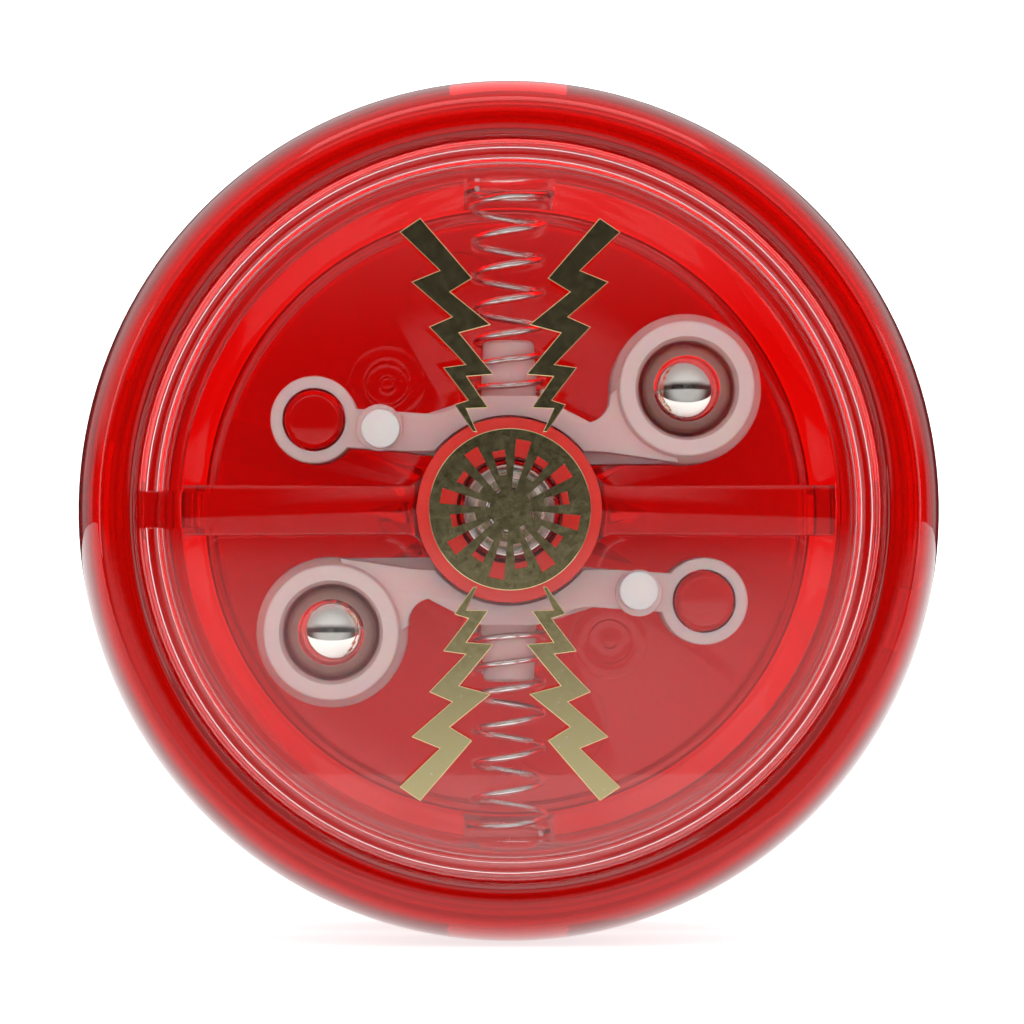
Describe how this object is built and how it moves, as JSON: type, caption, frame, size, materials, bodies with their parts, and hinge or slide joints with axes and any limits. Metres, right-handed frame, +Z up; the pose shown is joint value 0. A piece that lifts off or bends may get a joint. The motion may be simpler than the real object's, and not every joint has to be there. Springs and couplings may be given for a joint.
{
  "type": "yo-yo",
  "caption": "Modern yo-yo with translucent halves, clear snap-in caps, a free-turning spindle and a centrifugal clutch of sprung arms carrying steel balls.",
  "frame": {"origin": "centre of the axle, midway between the two string faces, which is the centre of the box round the part", "axes": "+Y along the axle from the clutch side to the plain side, +Z up as it stands on its rims, +X to the right seen from the clutch side"},
  "size_m": [0.0568, 0.0344, 0.0568],
  "materials": {
    "red_plastic": "translucent red, polished",
    "clear_plastic": "clear, polished",
    "natural_nylon": "natural white nylon, satin",
    "white_acetal": "white acetal, satin",
    "spring_steel": "bright drawn wire",
    "polished_steel": "polished",
    "gold_foil": "hot-stamped gold film"
  },
  "bodies": {
    "body": {"clutch_half_shell": "red_plastic", "plain_half_shell": "red_plastic", "clutch_cap": "clear_plastic", "plain_cap": "clear_plastic", "clutch_foil_medallion": "gold_foil", "clutch_foil_bolt_upper_left": "gold_foil", "clutch_foil_bolt_upper_right": "gold_foil", "clutch_foil_bolt_lower_left": "gold_foil", "clutch_foil_bolt_lower_right": "gold_foil", "plain_foil_medallion": "gold_foil", "axle": "polished_steel", "axle_end_collar": "polished_steel", "clutch_thrust_washer": "white_acetal", "plain_thrust_washer": "white_acetal", "nut_washer": "polished_steel", "axle_nut": "polished_steel", "clutch_spring_upper": "spring_steel", "clutch_spring_lower": "spring_steel"},
    "spindle": {"spindle_drum": "red_plastic"},
    "upper_arm": {"clutch_arm_upper": "natural_nylon", "weight_ball_upper": "polished_steel"},
    "lower_arm": {"clutch_arm_lower": "natural_nylon", "weight_ball_lower": "polished_steel"}
  },
  "joints": [
    {"name": "spindle_spin", "type": "hinge", "parent": "body", "child": "spindle", "pos_m": [0, 0, 0], "axis": [0, 1, 0], "continuous": true},
    {"name": "upper_arm_swing", "type": "hinge", "parent": "body", "child": "upper_arm", "pos_m": [-0.0129, -0.0075, 0.006], "axis": [0, -1, 0], "range_deg": [0, 5], "stiffness_Nm_per_rad": 0.13, "springref_deg": -8.59, "deforming": ["clutch_spring_upper"]},
    {"name": "lower_arm_swing", "type": "hinge", "parent": "body", "child": "lower_arm", "pos_m": [0.0129, -0.0075, -0.006], "axis": [0, -1, 0], "range_deg": [0, 5], "stiffness_Nm_per_rad": 0.13, "springref_deg": -8.59, "deforming": ["clutch_spring_lower"]}
  ]
}
